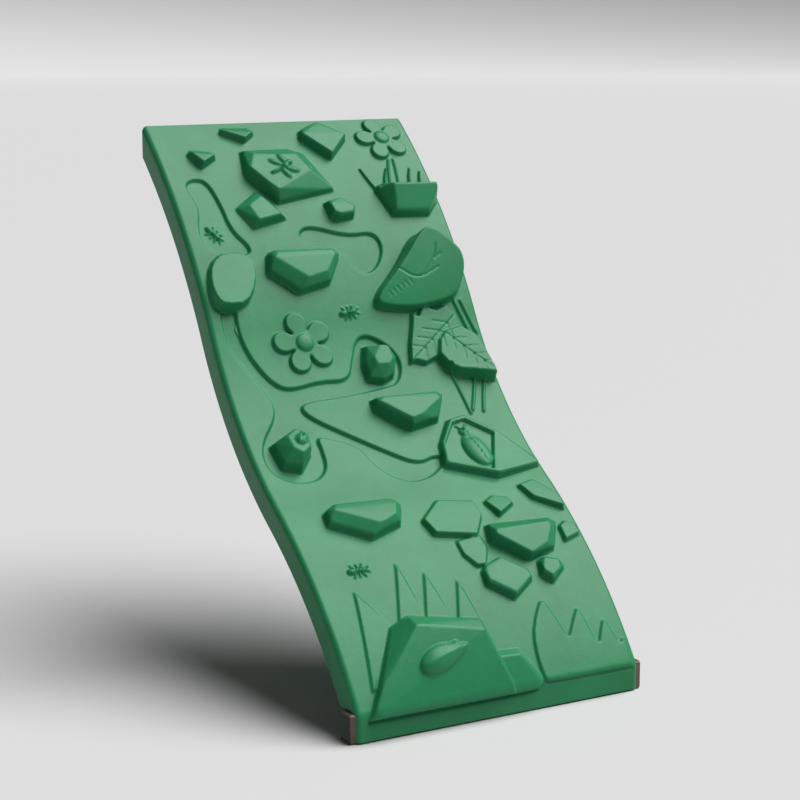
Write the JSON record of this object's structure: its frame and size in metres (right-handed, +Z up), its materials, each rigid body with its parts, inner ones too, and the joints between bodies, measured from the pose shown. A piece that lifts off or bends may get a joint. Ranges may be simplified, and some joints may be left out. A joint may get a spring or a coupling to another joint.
{
  "type": "playground rock climbing wall",
  "caption": "Leaning moulded climbing panel with raised rocks, leaves and flowers on an S-curved face, on a steel frame with a foot channel and a bolted deck edge.",
  "frame": {"origin": "on the ground, at the centre of the underside of the foot channel", "axes": "+X across the wall to the climber's right, +Y from the climber towards the deck, +Z up"},
  "size_m": [0.731, 1.0735, 1.2172],
  "materials": {
    "green_plastic": "satin, fine moulded texture",
    "brown_coat": "satin powder coat",
    "zinc_steel": "zinc plated",
    "insert_brass": "machined"
  },
  "bodies": {
    "root": {"climber_panel": "green_plastic", "panel_bolts": "zinc_steel", "panel_washers": "zinc_steel", "foot_bolts": "zinc_steel", "foot_washers": "zinc_steel", "foot_nuts": "zinc_steel", "threaded_inserts": "insert_brass", "rail_left": "brown_coat", "rail_right": "brown_coat", "cross_bar_1": "brown_coat", "cross_bar_2": "brown_coat", "cross_bar_3": "brown_coat", "cross_bar_4": "brown_coat", "deck_angle": "brown_coat", "deck_gusset_left": "brown_coat", "deck_gusset_right": "brown_coat", "foot_channel": "brown_coat", "foot_plate_left": "brown_coat", "foot_plate_right": "brown_coat"}
  },
  "joints": []
}
